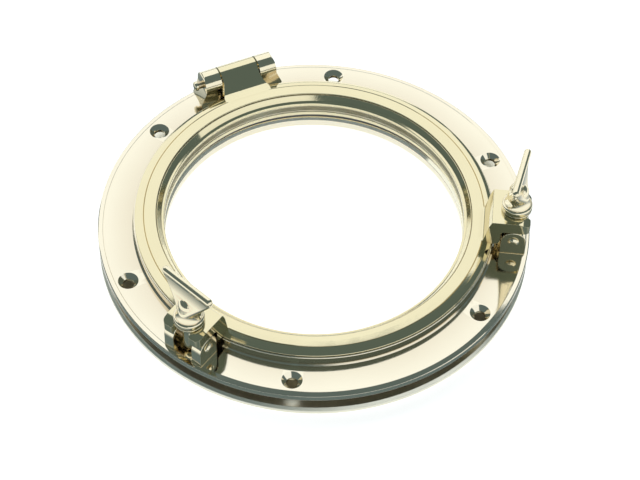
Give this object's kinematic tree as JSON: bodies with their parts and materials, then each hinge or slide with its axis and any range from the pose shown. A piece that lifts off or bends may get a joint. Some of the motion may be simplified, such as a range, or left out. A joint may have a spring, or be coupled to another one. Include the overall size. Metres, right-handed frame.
{
  "type": "opening porthole",
  "caption": "Round flanged opening porthole with a hinged glazed ring, held shut by swing bolts and thumb nuts, for clamping through a hull or cabin side.",
  "frame": {"origin": "bottom centre: on the opening's axis, at the outer end of the spigot", "axes": "+Z along the opening's axis towards the inside of the boat, +Y towards the hinge, +X towards the right-hand dog"},
  "size_m": [0.29, 0.29, 0.0865],
  "materials": {
    "brass": "polished, with faint handling marks",
    "glass": "clear",
    "rubber": "matte black",
    "bedding": "pale setting compound"
  },
  "bodies": {
    "frame": {"frame": "brass", "sealing_gasket": "rubber", "hinge_ear_left": "brass", "hinge_ear_right": "brass", "hinge_pin": "brass", "left_dog_ear_a": "brass", "left_dog_ear_b": "brass", "left_dog_pin": "brass", "right_dog_ear_a": "brass", "right_dog_ear_b": "brass", "right_dog_pin": "brass"},
    "door": {"door_ring": "brass", "lower_glass_bedding": "bedding", "glass_pane": "glass", "upper_glass_bedding": "bedding", "glass_retaining_ring": "brass"},
    "trim": {"outer_trim_ring": "brass"},
    "left_bolt": {"left_swing_bolt": "brass"},
    "left_washer": {"left_washer": "brass"},
    "left_nut": {"left_thumb_nut": "brass"},
    "right_bolt": {"right_swing_bolt": "brass"},
    "right_washer": {"right_washer": "brass"},
    "right_nut": {"right_thumb_nut": "brass"}
  },
  "joints": [
    {"name": "door_hinge", "type": "hinge", "parent": "frame", "child": "door", "pos_m": [0, 0.134, 0.0321], "axis": [-1, 0, 0], "range_deg": [0, 150]},
    {"name": "trim_ring_slide", "type": "slide", "parent": "frame", "child": "trim", "axis": [0, 0, 1], "range_m": [0, 0.009]},
    {"name": "left_dog_swing", "type": "hinge", "parent": "frame", "child": "left_bolt", "pos_m": [-0.11579, -0.06685, 0.0314], "axis": [0.5, -0.866, 0], "range_deg": [0, 110]},
    {"name": "left_washer_slide", "type": "slide", "parent": "left_bolt", "child": "left_washer", "axis": [0, 0, 1], "range_m": [0, 0.0045]},
    {"name": "left_nut_spin", "type": "hinge", "parent": "left_washer", "child": "left_nut", "pos_m": [-0.11579, -0.06685, 0.0314], "axis": [0, 0, 1], "range_deg": [0, 1080]},
    {"name": "right_dog_swing", "type": "hinge", "parent": "frame", "child": "right_bolt", "pos_m": [0.11579, -0.06685, 0.0314], "axis": [0.5, 0.866, 0], "range_deg": [0, 110]},
    {"name": "right_washer_slide", "type": "slide", "parent": "right_bolt", "child": "right_washer", "axis": [0, 0, 1], "range_m": [0, 0.0045]},
    {"name": "right_nut_spin", "type": "hinge", "parent": "right_washer", "child": "right_nut", "pos_m": [0.11579, -0.06685, 0.0314], "axis": [0, 0, 1], "range_deg": [0, 1080]}
  ],
  "couplings": [
    {"joint": "left_washer_slide", "follows": "left_nut_spin", "m_per_rad": 0.0002387},
    {"joint": "right_washer_slide", "follows": "right_nut_spin", "m_per_rad": 0.0002387}
  ]
}
